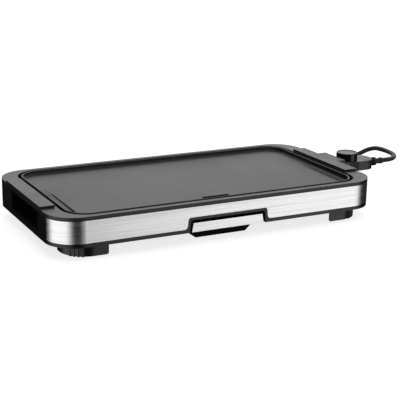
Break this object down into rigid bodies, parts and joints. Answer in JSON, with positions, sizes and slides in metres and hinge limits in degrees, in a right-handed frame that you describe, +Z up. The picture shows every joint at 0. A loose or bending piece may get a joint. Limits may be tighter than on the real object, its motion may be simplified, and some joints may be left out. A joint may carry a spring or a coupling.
{
  "type": "electric griddle",
  "caption": "Flat-top electric griddle with a lift-off non-stick plate, pull-out drip tray and plug-in thermostat probe on a mains lead.",
  "frame": {"origin": "middle of the object's footprint, without its lead, on the surface it stands on", "axes": "+X runs along the griddle's length towards the thermostat probe, +Y towards the back, +Z up; the drip tray is at the front, on -Y"},
  "size_m": [0.7865, 0.4475, 0.0795],
  "materials": {
    "black_plastic": "satin heat-resistant plastic",
    "grey_plastic": "fine-textured dark grey plastic",
    "band_steel": "brushed along the band",
    "nonstick": "cast, with a satin non-stick coating",
    "sheet_metal": "aluminised sheet",
    "element_sheath": "heat-darkened steel sheath",
    "ceramic": "glazed ceramic",
    "bright_steel": "plated steel",
    "brass": "bright",
    "silicone": "matt silicone",
    "rubber": "matt black rubber",
    "knob_plastic": "satin black plastic",
    "knob_plate": "light grey satin",
    "wire": "insulated wire"
  },
  "bodies": {
    "base": {"base_frame": "black_plastic", "bottom_plate": "black_plastic", "reflector_spacers": "bright_steel", "left_grip_cup": "black_plastic", "right_grip_cup": "black_plastic", "tray_housing": "black_plastic", "rim_frame": "grey_plastic", "steel_band": "band_steel", "tray_surround": "black_plastic", "left_handle": "grey_plastic", "right_handle": "grey_plastic", "foot_front_left": "black_plastic", "foot_front_right": "black_plastic", "foot_rear_left": "black_plastic", "foot_rear_right": "black_plastic", "foot_pads": "rubber", "heat_reflector": "sheet_metal", "heating_element": "element_sheath", "element_brackets": "sheet_metal", "terminal_block": "ceramic", "terminal_pins": "bright_steel", "earth_blade": "brass", "plate_buffers": "silicone", "sensor_guide": "sheet_metal", "tray_runners": "black_plastic", "frame_screws": "bright_steel", "handle_screws": "bright_steel", "reflector_screws": "bright_steel", "foot_screws": "bright_steel"},
    "plate": {"griddle_plate": "nonstick"},
    "tray": {"drip_tray": "black_plastic", "tray_front_panel": "band_steel", "tray_rivets": "bright_steel"},
    "probe": {"probe_lower_shell": "grey_plastic", "probe_upper_shell": "grey_plastic", "sensor_rod": "bright_steel", "contact_sockets": "brass", "earth_contact": "brass", "thermostat_switch": "ceramic", "switch_leads": "wire", "knob_bush": "brass", "probe_screws": "bright_steel", "strain_relief": "rubber", "cord": "rubber", "cord_coil": "rubber", "cord_tail": "rubber", "cord_tie": "black_plastic", "plug_body": "rubber", "plug_pins": "bright_steel", "plug_earth_clips": "bright_steel"},
    "knob": {"temperature_knob": "knob_plastic", "knob_disc": "knob_plate", "knob_shaft": "bright_steel"}
  },
  "joints": [
    {"name": "plate_lift", "type": "slide", "parent": "base", "child": "plate", "axis": [0, 0, 1], "range_m": [0, 0.06]},
    {"name": "tray_slide", "type": "slide", "parent": "base", "child": "tray", "axis": [0, -1, 0], "range_m": [0, 0.13]},
    {"name": "probe_slide", "type": "slide", "parent": "base", "child": "probe", "axis": [1, 0, 0], "range_m": [0, 0.11]},
    {"name": "knob_turn", "type": "hinge", "parent": "probe", "child": "knob", "pos_m": [0.2955, 0.005, 0.072], "axis": [0, 0, 1], "range_deg": [-280, 0]}
  ]
}
